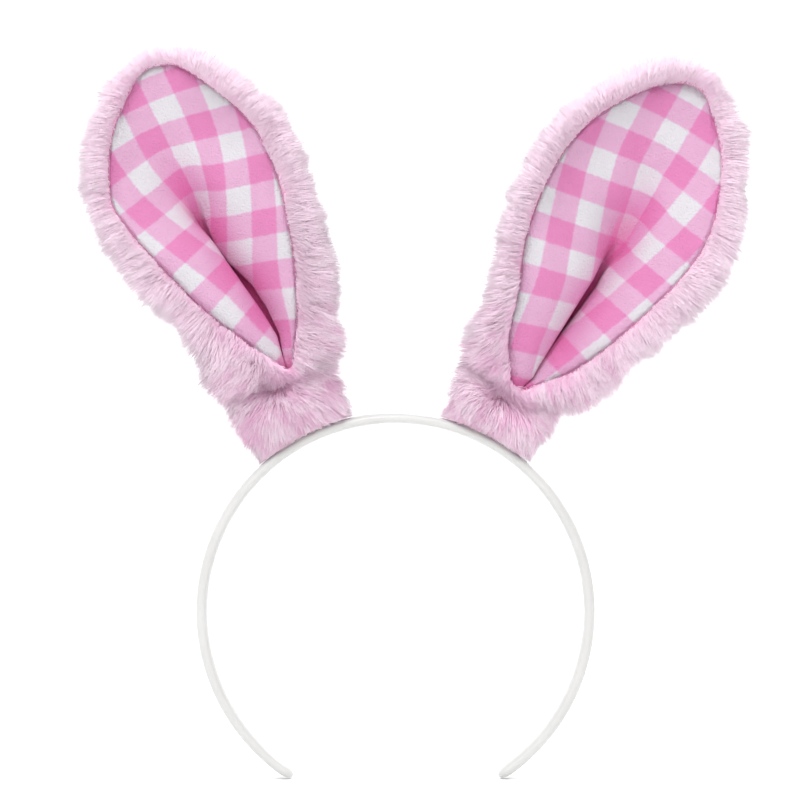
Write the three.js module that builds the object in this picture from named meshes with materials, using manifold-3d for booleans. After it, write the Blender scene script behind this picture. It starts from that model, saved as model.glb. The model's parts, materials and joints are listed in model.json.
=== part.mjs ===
// Plush rabbit-ears headband: an open plastic hoop with two lined, padded fur ears on it.
// Millimetres. +Z is up and -Y is the side that the ears face. The origin is on the inner face
// of the hoop at its crown, where the hoop rests on the head.
import * as THREE from 'three';
import Module from 'manifold-3d';
import { mergeVertices } from 'three/addons/utils/BufferGeometryUtils.js';

const wasm = await Module();
wasm.setup();

// ---- driving dimensions -------------------------------------------------------------------
const GAP = 0.3; // clearance between touching pieces

const BAND = {
  innerRadius: 60,
  thickness: 3.6,
  halfWidth: 4, // front to back
  halfSweep: 148, // degrees each side of the crown
  steps: 73, // odd, so that one flat facet lies across the crown and touches the origin
  tipLength: 4.5, // length over which each end rounds off
};
const OUTER_RADIUS = BAND.innerRadius + BAND.thickness;

const FOOT = {
  angle: 27.3, // degrees from the crown
  halfLength: 15, // along the hoop
  halfDepth: 4.6, // front to back
  steps: 12,
};
const GLUE = { thickness: 0.6, halfLength: 11, halfDepth: 2 };

const HINGE_HEIGHT = 10.5; // neck axis above the outer face of the hoop
const NECK = { radius: 7.5, halfLength: 18, endRound: 5, sides: 24 };

const EAR = {
  centre: [0, 60], // middle of the ear blade: across, along
  stepsRound: 40,
  apex: 10, // lowest point of the lining, along the ear
  top: 116, // highest point of the lining
  rimFrontAtApex: -6, // front of the seam line at the neck
  rimForward: 7, // how much further forward the rims come at mid height
  foldDepth: 19, // depth of the central fold behind the rims
  foldWidth: 14,
  liningThickness: 1.2,
  padThickness: 4,
  furDepth: 11, // backing cloth and pile behind the padding
  rimProud: 5, // pile standing in front of the seam
  clearFront: 15, // the hollow is open this far in front of the lining
};
const THREAD = { radius: 0.3, sides: 5, steps: 44 };
const TACK = { length: 6, radius: 0.45, sides: 8, front: 12 };

// Outlines in each ear's own plane, [across, along] from the neck axis.
const EARS = [
  {
    name: 'left',
    side: -1,
    lean: 20.5,
    foldBase: 4,
    foldTop: -8,
    tackAt: [-1, 7],
    seam: [
      [3, 10.5], [-7, 25.5], [-14, 37], [-20, 50], [-28, 70], [-29.3, 82], [-22.5, 99],
      [-9, 114], [-0.5, 115.5], [7, 111], [19, 91], [22.3, 73], [20, 52], [15.3, 33], [8, 15],
    ],
    cover: [
      [-10, 3.5], [-18.5, 5], [-22, 18], [-24, 32], [-32, 45], [-37, 62], [-38, 78], [-32.5, 97],
      [-19, 113.5], [-3, 120.5], [7.5, 118.5], [19, 109], [30, 91], [33.2, 70], [32, 51],
      [28.7, 31], [22, 13], [17, 4], [6, 3],
    ],
  },
  {
    name: 'right',
    side: 1,
    lean: 28.6,
    foldBase: 4,
    foldTop: 7.3,
    tackAt: [-1, 2.5],
    seam: [
      [1, 5.5], [-7.8, 17.5], [-14.3, 37], [-19.3, 51], [-22, 73], [-18.5, 92.5], [-8, 110],
      [0, 116.7], [6, 118.5], [12.5, 115], [24.6, 100], [31, 81], [30.5, 63.5], [23.6, 40.5],
      [15.5, 21.7], [6, 10],
    ],
    cover: [
      [-8, 2], [-18, 3], [-20, 18], [-24, 33], [-29, 53], [-31, 70], [-28.5, 91], [-18, 110.5],
      [-6, 122], [4, 125], [16, 121.5], [31, 106], [41.5, 85], [43.7, 69], [38.7, 47], [30, 27],
      [24, 13], [17, 4], [6, 2],
    ],
  },
];

const COLOURS = {
  plastic: { color: 0xf4f2ee, roughness: 0.35, metalness: 0 },
  fur: { color: 0xf3cfe4, roughness: 0.95, metalness: 0 },
  lining: { color: 0xf0a3cf, roughness: 0.9, metalness: 0 },
  wadding: { color: 0xf5f5f2, roughness: 1, metalness: 0 },
  thread: { color: 0xd68fb6, roughness: 0.8, metalness: 0 },
  glue: { color: 0xefe9d8, roughness: 0.3, metalness: 0 },
};

const radians = THREE.MathUtils.degToRad;
const point = (x, y, z) => new THREE.Vector3(x, y, z);

// ---- shared builders ----------------------------------------------------------------------

// A closed skin from a list of equal rings, closed at both ends on a single point. Each quad is
// split along its shorter diagonal, so that nested skins are split alike.
function ringBody(firstPole, rings, lastPole) {
  const count = rings[0].length;
  const points = [firstPole, ...rings.flat(), lastPole];
  const last = points.length - 1;
  const index = [];
  const pushQuad = (a, aNext, b, bNext) => {
    const bias = 1e-5;
    if (points[a].distanceTo(points[bNext]) + bias < points[aNext].distanceTo(points[b])) {
      index.push(a, bNext, b, a, aNext, bNext);
    } else {
      index.push(a, aNext, b, aNext, bNext, b);
    }
  };
  for (let i = 0; i < count; i += 1) {
    const next = (i + 1) % count;
    index.push(0, 1 + next, 1 + i);
    for (let ring = 0; ring < rings.length - 1; ring += 1) {
      const a = 1 + ring * count;
      pushQuad(a + i, a + next, a + count + i, a + count + next);
    }
    index.push(last, last - count + i, last - count + next);
  }
  const geometry = new THREE.BufferGeometry().setFromPoints(points);
  geometry.setIndex(signedVolume(points, index) < 0 ? index.reverse() : index);
  geometry.computeVertexNormals();
  return geometry;
}

function signedVolume(points, index) {
  let volume = 0;
  for (let i = 0; i < index.length; i += 3) {
    const [a, b, c] = [points[index[i]], points[index[i + 1]], points[index[i + 2]]];
    volume += a.dot(b.clone().cross(c)) / 6;
  }
  return volume;
}

function toSolid(geometry) {
  const bare = geometry.clone();
  bare.deleteAttribute('normal');
  bare.deleteAttribute('uv');
  const merged = mergeVertices(bare, 1e-4);
  return new wasm.Manifold(new wasm.Mesh({
    numProp: 3,
    vertProperties: new Float32Array(merged.attributes.position.array),
    triVerts: new Uint32Array(merged.index.array),
  }));
}

function toGeometry(solid) {
  const result = solid.getMesh();
  const geometry = new THREE.BufferGeometry();
  geometry.setAttribute('position', new THREE.BufferAttribute(result.vertProperties, 3));
  geometry.setIndex(new THREE.BufferAttribute(result.triVerts, 1));
  geometry.computeVertexNormals();
  return geometry;
}

function piece(name, geometry, look) {
  const mesh = new THREE.Mesh(geometry, new THREE.MeshStandardMaterial(look));
  mesh.name = name;
  return mesh;
}

// Distance from the blade's centre to a smooth outline, as a function of the angle round it.
function outlineRadius(outline) {
  const [across, along] = EAR.centre;
  const curve = new THREE.CatmullRomCurve3(outline.map(([u, w]) => point(u - across, 0, w - along)), true);
  const polar = curve.getPoints(360).map((p) => ({ angle: Math.atan2(p.z, p.x), radius: Math.hypot(p.x, p.z) }));
  polar.sort((a, b) => a.angle - b.angle);
  return (angle) => {
    const wrapped = Math.atan2(Math.sin(angle), Math.cos(angle));
    const above = polar.findIndex((p) => p.angle >= wrapped);
    const high = polar[above < 0 ? 0 : above];
    const low = polar[above <= 0 ? polar.length - 1 : above - 1];
    const span = (high.angle - low.angle + 4 * Math.PI) % (2 * Math.PI);
    const part = ((wrapped - low.angle + 4 * Math.PI) % (2 * Math.PI)) / (span || 1);
    return THREE.MathUtils.lerp(low.radius, high.radius, part);
  };
}

// ---- the hoop -----------------------------------------------------------------------------

// Half of the D-shaped section, [front to back, outward], from the flat inner face to the crown.
const BAND_HALF_SECTION = [[0.75, 0], [0.95, 0.13], [1, 0.4], [0.9, 0.7], [0.55, 0.93]];

// One section of the hoop. The hoop's facets are tangent to its true radii.
function bandRing(angle, scale, facetCosine) {
  const half = BAND_HALF_SECTION.map(([y, r]) => [y * BAND.halfWidth, r * BAND.thickness]);
  const section = [...half, [0, BAND.thickness], ...half.toReversed().map(([y, r]) => [-y, r])];
  const middle = BAND.thickness / 2;
  return section.map(([y, r]) => {
    const radius = (BAND.innerRadius + middle + (r - middle) * scale) / facetCosine;
    return point(radius * Math.sin(angle), y * scale, radius * Math.cos(angle) - BAND.innerRadius);
  });
}

function headband() {
  const tip = BAND.tipLength / BAND.innerRadius;
  const start = radians(-BAND.halfSweep);
  const sweep = radians(2 * BAND.halfSweep);
  const facetCosine = Math.cos((sweep - 2 * tip) / BAND.steps / 2);
  const roundOff = [0.02, 0.12, 0.32, 0.62, 1];
  const scaleAt = (part) => Math.sqrt(1 - (1 - part) ** 2);
  const body = Array.from({ length: BAND.steps + 1 }, (_, i) => (
    bandRing(start + tip + ((sweep - 2 * tip) * i) / BAND.steps, 1, facetCosine)
  ));
  const ends = roundOff.slice(0, -1);
  const first = ends.map((part) => bandRing(start + tip * part, scaleAt(part), facetCosine));
  const last = ends.toReversed().map((part) => (
    bandRing(start + sweep - tip * part, scaleAt(part), facetCosine)
  ));
  const middle = BAND.innerRadius + BAND.thickness / 2;
  const pole = (angle) => point(middle * Math.sin(angle), 0, middle * Math.cos(angle) - BAND.innerRadius);
  return ringBody(pole(start), [...first, ...body, ...last], pole(start + sweep));
}

// ---- foot and glue: built about the hoop's centre, straight up, then turned into place -------

// The neck turns in a trough in the top of the foot.
function troughHeight(y) {
  return HINGE_HEIGHT - Math.sqrt((NECK.radius + GAP) ** 2 - y ** 2);
}

function foot() {
  const base = OUTER_RADIUS + GLUE.thickness + 2 * GAP;
  const sweep = FOOT.halfLength / OUTER_RADIUS;
  const across = [1, 0.7, 0.35, 0, -0.35, -0.7, -1].map((part) => part * FOOT.halfDepth);
  const ring = (angle) => [
    point(base * Math.sin(angle), -FOOT.halfDepth, base * Math.cos(angle)),
    point(base * Math.sin(angle), FOOT.halfDepth, base * Math.cos(angle)),
    ...across.map((y) => {
      const height = OUTER_RADIUS + troughHeight(y);
      return point(height * Math.tan(angle), y, height);
    }),
  ];
  const rings = Array.from({ length: FOOT.steps + 1 }, (_, i) => ring(sweep * ((2 * i) / FOOT.steps - 1)));
  const pole = (angle) => point((base + 1) * Math.sin(angle), 0, (base + 1) * Math.cos(angle));
  return ringBody(pole(-sweep), rings, pole(sweep));
}

function gluePad() {
  const low = OUTER_RADIUS + GAP;
  const high = low + GLUE.thickness;
  const sweep = GLUE.halfLength / OUTER_RADIUS;
  const at = (radius, y, angle) => point(radius * Math.sin(angle), y, radius * Math.cos(angle));
  const ring = (angle) => [[low, -1], [low, 1], [high, 1], [high, -1]].map(([radius, y]) => (
    at(radius, y * GLUE.halfDepth, angle)
  ));
  const rings = Array.from({ length: FOOT.steps + 1 }, (_, i) => ring(sweep * ((2 * i) / FOOT.steps - 1)));
  const middle = (low + high) / 2;
  return ringBody(at(middle, 0, -sweep), rings, at(middle, 0, sweep));
}

// ---- ear ----------------------------------------------------------------------------------

function earSurfaces(ear) {
  const seamRadius = outlineRadius(ear.seam);
  const coverRadius = outlineRadius(ear.cover);
  const [across, along] = EAR.centre;
  const place = (angle, radius) => [across + radius * Math.cos(angle), along + radius * Math.sin(angle)];

  const height = (w) => THREE.MathUtils.clamp((w - EAR.apex) / (EAR.top - EAR.apex), 0, 1);
  const rimFront = (w) => EAR.rimFrontAtApex - EAR.rimForward * Math.sin(Math.PI * height(w));
  const foldLine = (w) => THREE.MathUtils.lerp(ear.foldBase, ear.foldTop, THREE.MathUtils.smoothstep(w, 8, 80));

  // Front face of the lining, where `part` runs from 0 at the centre to 1 on the seam.
  const liningFront = (u, w, part) => {
    const depth = EAR.foldDepth * Math.sin(Math.PI * height(w) ** 0.75);
    const offFold = Math.hypot(u - foldLine(w), 3) - 3;
    const fold = 0.35 + 0.65 * Math.exp(-offFold / EAR.foldWidth);
    return rimFront(w) + depth * fold * Math.max(0, 1 - part ** 2) ** 0.8;
  };
  const padDepth = (part) => EAR.padThickness * Math.sqrt(Math.max(0, 1 - part ** 2));

  const angles = Array.from({ length: EAR.stepsRound }, (_, i) => (2 * Math.PI * i) / EAR.stepsRound);
  // One ring of points on the lining's own radii, `offset` behind its front face.
  const liningRing = (part, offset) => angles.map((angle) => {
    const [u, w] = place(angle, seamRadius(angle) * part);
    return point(u, liningFront(u, w, part) + offset(part), w);
  });
  const liningPole = (offset) => point(across, liningFront(across, along, 0) + offset(0), along);

  return { seamRadius, coverRadius, place, rimFront, liningFront, padDepth, angles, liningRing, liningPole };
}

// Rings of the layers, as parts of the seam's radius. All layers share them, so they nest.
const LAYER_PARTS = [0.25, 0.5, 0.72, 0.88, 0.97];

// A layer between two offsets behind the lining's front face.
function earLayer(surfaces, front, back, edge) {
  const parts = [...LAYER_PARTS, ...edge];
  const rings = [
    ...parts.map((part) => surfaces.liningRing(part, front)),
    ...parts.toReversed().map((part) => surfaces.liningRing(part, back)),
  ];
  return ringBody(surfaces.liningPole(front), rings, surfaces.liningPole(back));
}

function earLining(surfaces) {
  return earLayer(surfaces, () => 0, () => EAR.liningThickness, []);
}

function earPad(surfaces) {
  const front = EAR.liningThickness + GAP;
  return earLayer(surfaces, () => front, (part) => front + 0.3 + surfaces.padDepth(part), []);
}

// The fur cover is a deep dish: its back bulges behind the padding and its rim rolls forward
// to the seam. The neck is a barrel about the neck axis, joined to the dish's lower end.
function earCover(ear, surfaces) {
  const { seamRadius, coverRadius, place, rimFront, liningFront, angles } = surfaces;
  const inside = (part) => EAR.liningThickness + 0.3 + 2 * GAP + surfaces.padDepth(part);
  const backAt = (u, w, angle, radius) => {
    const seamPart = Math.min(1, radius / seamRadius(angle));
    const coverPart = radius / coverRadius(angle);
    const wall = (EAR.furDepth + 6) * Math.sqrt(Math.max(0, 1 - coverPart ** 3));
    return liningFront(u, w, seamPart) + 2 + wall;
  };
  const backRing = (part) => angles.map((angle) => {
    const radius = coverRadius(angle) * part;
    const [u, w] = place(angle, radius);
    return point(u, backAt(u, w, angle, radius), w);
  });
  const rimRing = (part) => angles.map((angle) => {
    const radius = THREE.MathUtils.lerp(coverRadius(angle), seamRadius(angle), part);
    const [u, w] = place(angle, radius);
    const roll = Math.sin(Math.PI * part ** 0.7) * EAR.rimProud;
    return point(u, THREE.MathUtils.lerp(rimFront(w) + 2, rimFront(w) - 0.5, part) - roll, w);
  });
  const rings = [
    ...[0.25, 0.5, 0.7, 0.85, 0.95, 1].map(backRing),
    ...[0.25, 0.5, 0.8, 1].map(rimRing),
    ...[...LAYER_PARTS, 1].toReversed().map((part) => surfaces.liningRing(part, inside)),
  ];
  const [u, w] = EAR.centre;
  const dish = ringBody(point(u, backAt(u, w, 0, 0), w), rings, surfaces.liningPole(inside));
  const hollow = earLayer(surfaces, () => -EAR.clearFront, inside, [1]);
  return toGeometry(toSolid(dish).add(toSolid(neckBarrel(ear)).subtract(toSolid(hollow))));
}

function neckBarrel(ear) {
  const { radius, halfLength, endRound, sides } = NECK;
  const corner = [1, 0.7, 0].map((part) => [
    radius - endRound * (1 - Math.sqrt(1 - part ** 2)),
    halfLength - endRound + endRound * part,
  ]);
  const profile = [[0, -halfLength], ...corner.map(([r, x]) => [r, -x]), ...corner.toReversed(), [0, halfLength]];
  const barrel = new THREE.LatheGeometry(profile.map(([r, x]) => new THREE.Vector2(r, x)), sides);
  barrel.rotateZ(-Math.PI / 2);
  barrel.rotateY(radians(ear.side * (FOOT.angle - ear.lean)));
  return barrel;
}

// The sewing thread of the seam lies in the corner between the lining and the fur rim. It
// starts and ends at the lining's lowest point.
function seamThread(surfaces) {
  const { seamRadius, place, rimFront } = surfaces;
  const start = -Math.PI / 2;
  const turn = 2 * Math.PI - 0.06;
  const path = Array.from({ length: THREAD.steps }, (_, i) => {
    const angle = start + 0.03 + (turn * i) / (THREAD.steps - 1);
    const [u, w] = place(angle, seamRadius(angle) * 0.965);
    return point(u, rimFront(w) - THREAD.radius - 0.6, w);
  });
  return roundTube(new THREE.CatmullRomCurve3(path), THREAD.radius, THREAD.sides, THREAD.steps);
}

function roundTube(curve, radius, sides, steps) {
  const section = new THREE.Shape(Array.from({ length: sides }, (_, i) => {
    const angle = (2 * Math.PI * i) / sides;
    return new THREE.Vector2(radius * Math.cos(angle), radius * Math.sin(angle));
  }));
  return new THREE.ExtrudeGeometry(section, { steps, extrudePath: curve });
}

// A short bar of thread that cinches the front of the neck below the lining.
function tackStitch(ear) {
  const [u, w] = ear.tackAt;
  const bar = new THREE.CylinderGeometry(TACK.radius, TACK.radius, TACK.length, TACK.sides);
  bar.rotateZ(Math.PI / 2);
  bar.translate(u, -TACK.front, w);
  return bar;
}

// ---- assembly -----------------------------------------------------------------------------

const model = new THREE.Group();
model.add(piece('headband', headband(), COLOURS.plastic));

for (const ear of EARS) {
  const footGroup = new THREE.Group();
  footGroup.position.z = -BAND.innerRadius;
  footGroup.rotation.y = radians(ear.side * FOOT.angle);
  footGroup.add(piece(`${ear.name}_ear_foot`, foot(), COLOURS.fur));
  footGroup.add(piece(`${ear.name}_glue_pad`, gluePad(), COLOURS.glue));

  const earGroup = new THREE.Group();
  const hingeRadius = OUTER_RADIUS + HINGE_HEIGHT;
  const footAngle = radians(ear.side * FOOT.angle);
  earGroup.position.set(hingeRadius * Math.sin(footAngle), 0, hingeRadius * Math.cos(footAngle) - BAND.innerRadius);
  earGroup.rotation.y = radians(ear.side * ear.lean);
  const surfaces = earSurfaces(ear);
  earGroup.add(piece(`${ear.name}_ear_cover`, earCover(ear, surfaces), COLOURS.fur));
  earGroup.add(piece(`${ear.name}_ear_lining`, earLining(surfaces), COLOURS.lining));
  earGroup.add(piece(`${ear.name}_ear_padding`, earPad(surfaces), COLOURS.wadding));
  earGroup.add(piece(`${ear.name}_seam_thread`, seamThread(surfaces), COLOURS.thread));
  earGroup.add(piece(`${ear.name}_tack_stitch`, tackStitch(ear), COLOURS.thread));
  model.add(footGroup, earGroup);
}

export default model;
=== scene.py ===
"""The plush bunny-ears headband in Blender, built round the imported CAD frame.

Shapes are worked out in millimetres, in the frame's axes: x across, y to the back and z up."""
import json
import math

import bpy
import numpy as np
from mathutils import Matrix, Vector
from mathutils.kdtree import KDTree


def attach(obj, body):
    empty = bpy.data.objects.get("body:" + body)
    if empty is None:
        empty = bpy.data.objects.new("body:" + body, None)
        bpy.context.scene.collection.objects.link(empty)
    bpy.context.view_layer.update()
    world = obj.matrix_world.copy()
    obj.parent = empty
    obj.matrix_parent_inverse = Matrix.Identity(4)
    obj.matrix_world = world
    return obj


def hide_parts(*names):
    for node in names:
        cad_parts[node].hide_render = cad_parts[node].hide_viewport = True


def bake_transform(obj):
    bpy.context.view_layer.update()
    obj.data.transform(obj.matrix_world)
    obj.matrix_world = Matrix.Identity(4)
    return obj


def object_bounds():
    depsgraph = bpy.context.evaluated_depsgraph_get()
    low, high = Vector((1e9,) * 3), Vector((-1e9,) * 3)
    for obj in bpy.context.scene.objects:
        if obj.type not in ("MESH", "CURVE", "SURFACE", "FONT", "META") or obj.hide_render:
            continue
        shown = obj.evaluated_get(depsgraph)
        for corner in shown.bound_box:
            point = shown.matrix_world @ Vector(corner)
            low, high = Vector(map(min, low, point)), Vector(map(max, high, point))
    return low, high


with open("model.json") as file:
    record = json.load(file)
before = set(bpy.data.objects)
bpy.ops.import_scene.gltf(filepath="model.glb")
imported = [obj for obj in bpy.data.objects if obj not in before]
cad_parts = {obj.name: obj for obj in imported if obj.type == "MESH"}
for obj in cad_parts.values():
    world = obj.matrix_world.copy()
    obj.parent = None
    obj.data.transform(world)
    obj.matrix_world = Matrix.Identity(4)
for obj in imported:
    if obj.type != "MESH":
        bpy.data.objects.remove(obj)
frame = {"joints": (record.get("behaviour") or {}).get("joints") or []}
CAD_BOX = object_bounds()
MM = 0.001

# ---- sizes, in millimetres ----------------------------------------------------------------
BAND = dict(inner=60.0, thick=3.6, half_width=4.0, sweep=148.0, tip=4.5)  # sweep: degrees each way
OUTER = BAND["inner"] + BAND["thick"]
FOOT_ANGLE = 27.3  # an ear's place on the hoop, in degrees from the crown
HINGE_HEIGHT = 10.5  # the neck's axis above the hoop

CENTRE = np.array([0.0, 60.0])  # middle of an ear's blade: across, along
APEX, TOP = 10.0, 116.0  # lowest and highest point of the lining
RIM_AT_APEX = -6.0  # depth of the seam at those two points
RIM_FORWARD = 7.0  # the seam is this much further forward halfway up
FOLD_DEPTH, FOLD_WIDTH = 19.0, 14.0
NOWHERE = -99.0  # a depth in front of everything

SKIN_VOXEL = 1.1  # remeshing size of the plush skin
PILE = 8.5  # length of the plush pile
STRANDS = 120000  # per ear
STRANDS_PER_PIECE = 20000
TUFT_SIZE = 20  # strands
GUARD_SHARE = 0.14  # share of the strands that are guard hairs

CHECK = 8.3  # one square of the gingham
HEM = 0.9  # the lining runs this far past its seam
VALLEY = dict(half_width=8.5, depth=7.5, bowl=6.5)  # the open hollow above the pleat
LINING_ROWS = 130
PANEL = np.linspace(0, 1, 40)  # columns of a lining panel, from one side to the other
TURN = np.linspace(0, 1, 14)  # columns of one wall of the pleat
LEFT_LIP = len(PANEL) - 1  # column where the left panel turns into the pleat
BOTTOM = LEFT_LIP + len(TURN) - 1
RIGHT_LIP = BOTTOM + len(TURN) - 1

# Places are (across, along) from the neck's axis. seam and cover outline the lining and the pile.
# slit is the pleat's left lip, and gap is how far off its right lip is at a height. lip_depth and
# wall_depth are the lips' depths behind the seam, low and high. The pleat opens out between
# fold_ends. cone and gather place the gingham. fold is where the hollow is deepest, low and high.
EARS = [
    dict(
        name="left", side=-1, lean=20.5, seed=11, fold=(4, -8), tack=(-1, 7),
        seam=[(3, 10.5), (-7, 25.5), (-14, 37), (-20, 50), (-28, 70), (-29.3, 82), (-22.5, 99),
              (-9, 114), (-0.5, 115.5), (7, 111), (19, 91), (22.3, 73), (20, 52), (15.3, 33), (8, 15)],
        cover=[(-10, 3.5), (-17.5, 5), (-19.5, 19), (-23.5, 32), (-32, 45), (-37, 62), (-38, 78),
               (-34, 98), (-21.5, 114.3), (-4, 119.5), (7.2, 117.4), (19, 109), (30, 91), (33.2, 70),
               (32, 51), (28.7, 31), (21.5, 15), (18, 4), (6, 3)],
        neck_shift=-0.4, neck_wide=1.2,
        slit=[(3, 10.5), (4, 22), (2.1, 31.4), (-2.3, 48), (-6.5, 65.6), (-9.1, 85.7)],
        gap=[(10.5, 0), (20, 0.9), (31, 2.2), (40, 2.6), (49, 0.6), (56, 0)],
        lip_depth=(1.0, 6.0), wall_depth=(2.0, 12.5), fold_ends=(54, 76),
        cone=dict(vertex=(-9.1, 85.7), keep=0.862, cut=193, offset=(-2.84, 3.94), stretch=1.097, tilt=6.5),
        gather=((2.6, 4.4), (-3.4, 5.4)),
    ),
    dict(
        name="right", side=1, lean=28.6, seed=23, fold=(4, 7.3), tack=(-1, 2.5),
        seam=[(1, 5.5), (-7.8, 17.5), (-14.3, 37), (-19.3, 51), (-22, 73), (-18.5, 92.5), (-8, 110),
              (0, 116.7), (6, 118.5), (12.5, 115), (24.6, 100), (31, 81), (30.5, 63.5), (23.6, 40.5),
              (15.5, 21.7), (6, 10)],
        cover=[(-8, 2), (-16.5, 3), (-17.5, 19), (-23, 34), (-29, 53), (-31, 70), (-28.5, 91),
               (-18, 110.5), (-6, 121), (4, 123.8), (15.6, 120.6), (31, 106), (41.5, 85), (43.7, 69),
               (38.7, 47), (30, 27), (24, 13), (17, 4), (6, 2)],
        neck_shift=0.0, neck_wide=0.0,
        slit=[(4.1, 8), (3.9, 16), (4.4, 25.4), (5.5, 44.2), (7.5, 62), (6.2, 88)],
        gap=[(8, 0), (20, 0.3), (28, 0.8), (40, 2.0), (48, 2.4), (58, 0)],
        lip_depth=(1.0, 8.5), wall_depth=(3.0, 13), fold_ends=(46, 68),
        cone=dict(vertex=(6.2, 88.0), keep=0.899, cut=173, offset=(2.05, 4.37), stretch=1.059, tilt=-5.5),
        gather=((3.8, 4.4), (2.6, 3.2)),
    ),
]


# ---- camera and light ---------------------------------------------------------------------
def new_object(name, data):
    thing = bpy.data.objects.new(name, data)
    bpy.context.scene.collection.objects.link(thing)
    return thing


def camera_and_light():
    """A straight front view, as in the photo, and soft light from all round."""
    scene = bpy.context.scene
    scene.view_settings.view_transform = "Standard"
    lens, sensor = 135.0, 36.0
    view_width, view_x, view_z = 0.2552, 0.0014, 0.0075        # metres, at the headband
    camera = new_object("camera", bpy.data.cameras.new("camera"))
    camera.data.lens = lens
    camera.data.sensor_width = sensor
    camera.data.clip_start = 0.01
    camera.location = (view_x, -view_width * lens / sensor, view_z)
    camera.rotation_euler = (math.pi / 2, 0, 0)
    scene.camera = camera

    world = bpy.data.worlds.new("studio")
    world.use_nodes = True
    background = world.node_tree.nodes["Background"]
    background.inputs["Color"].default_value = (1, 1, 1, 1)
    background.inputs["Strength"].default_value = 0.82
    scene.world = world

    sun = new_object("sky_light", bpy.data.lights.new("sky_light", "SUN"))
    sun.data.energy = 1.8
    sun.data.angle = math.radians(60)
    sun.rotation_euler = (math.radians(48), math.radians(-12), 0)
    area_light("top_light", (-0.25, -0.5, 0.85), (0, 0, 0.03), 0.6, 2.5)
    area_light("back_light", (0.3, 0.9, 0.7), (0, 0, 0.06), 0.8, 6.0)
    sweep_of_paper()


def sweep_of_paper():
    """A pale round floor that curves up into a low wall all round. Its sizes are in metres."""
    floor_z = CAD_BOX[0].z - 0.0004
    radius, bend, top, sides = 3.0, 1.0, 1.5, 96
    profile = [(radius - bend, 0.0)]
    for turn in np.linspace(0, math.pi / 2, 17)[1:]:
        profile.append((radius - bend * (1 - math.sin(turn)), bend * (1 - math.cos(turn))))
    profile.append((radius, top))
    points = [(0, 0, floor_z / MM)]
    for r, z in profile:
        for k in range(sides):
            angle = 2 * math.pi * k / sides
            points.append((r * math.cos(angle) / MM, r * math.sin(angle) / MM, (floor_z + z) / MM))
    faces = [(0, 1 + k, 1 + (k + 1) % sides) for k in range(sides)]
    for ring in range(len(profile) - 1):
        base = 1 + ring * sides
        for k in range(sides):
            after = (k + 1) % sides
            faces.append((base + k, base + sides + k, base + sides + after, base + after))
    paper = mesh_piece("floor", points, faces, plain("floor", (0.96, 0.96, 0.96), roughness=0.9))


def area_light(name, place, target, size, power):
    """A soft round light that faces its target."""
    light = new_object(name, bpy.data.lights.new(name, "AREA"))
    light.data.shape = "DISK"
    light.data.size = size
    light.data.energy = power
    light.location = place
    light.rotation_euler = (Vector(target) - Vector(place)).to_track_quat("-Z", "Y").to_euler()


# ---- materials ----------------------------------------------------------------------------
def plain(name, colour, roughness=0.6, **settings):
    """A material whose shader has these settings, with _ for each space in their names."""
    material = bpy.data.materials.new(name)
    material.use_nodes = True
    shader = material.node_tree.nodes["Principled BSDF"]
    shader.inputs["Base Color"].default_value = (*colour, 1)
    shader.inputs["Roughness"].default_value = roughness
    for socket, value in settings.items():
        shader.inputs[socket.replace("_", " ")].default_value = value
    return material


class Graph:
    """Adds shader nodes to a material."""

    def __init__(self, material):
        self.tree = material.node_tree
        self.shader = self.tree.nodes["Principled BSDF"]

    def node(self, kind, inputs=None, **settings):
        node = self.tree.nodes.new("ShaderNode" + kind)
        for key, value in settings.items():
            setattr(node, key, value)
        for key, value in (inputs or {}).items():
            if isinstance(value, bpy.types.NodeSocket):
                self.tree.links.new(value, node.inputs[key])
            else:
                node.inputs[key].default_value = value
        return node

    def math(self, operation, a, b=0.5):
        return self.node("Math", {0: a, 1: b}, operation=operation).outputs[0]

    def mix(self, factor, a, b, blend="MIX"):
        node = self.node("Mix", {0: factor, 6: a, 7: b}, data_type="RGBA", blend_type=blend)
        return node.outputs[2]

    def noise(self, scale, detail=2.0, vector=None, roughness=0.5):
        inputs = {"Scale": scale, "Detail": detail, "Roughness": roughness}
        if vector is not None:
            inputs["Vector"] = vector
        return self.node("TexNoise", inputs).outputs["Fac"]

    def ramp(self, factor, stops):
        node = self.node("ValToRGB", {"Fac": factor})
        elements = node.color_ramp.elements
        while len(elements) < len(stops):
            elements.new(0.5)
        for element, (place, colour) in zip(elements, stops):
            element.position = place
            element.color = (*colour, 1)
        return node.outputs["Color"]

    def bump(self, height, strength, distance, normal=None):
        inputs = {"Height": height, "Strength": strength, "Distance": distance}
        if normal is not None:
            inputs["Normal"] = normal
        return self.node("Bump", inputs).outputs["Normal"]

    def set(self, socket, value):
        self.tree.links.new(value, self.shader.inputs[socket])

    def place(self):
        """Where the shaded point is, in metres."""
        return self.node("TexCoord").outputs["Object"]


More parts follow.
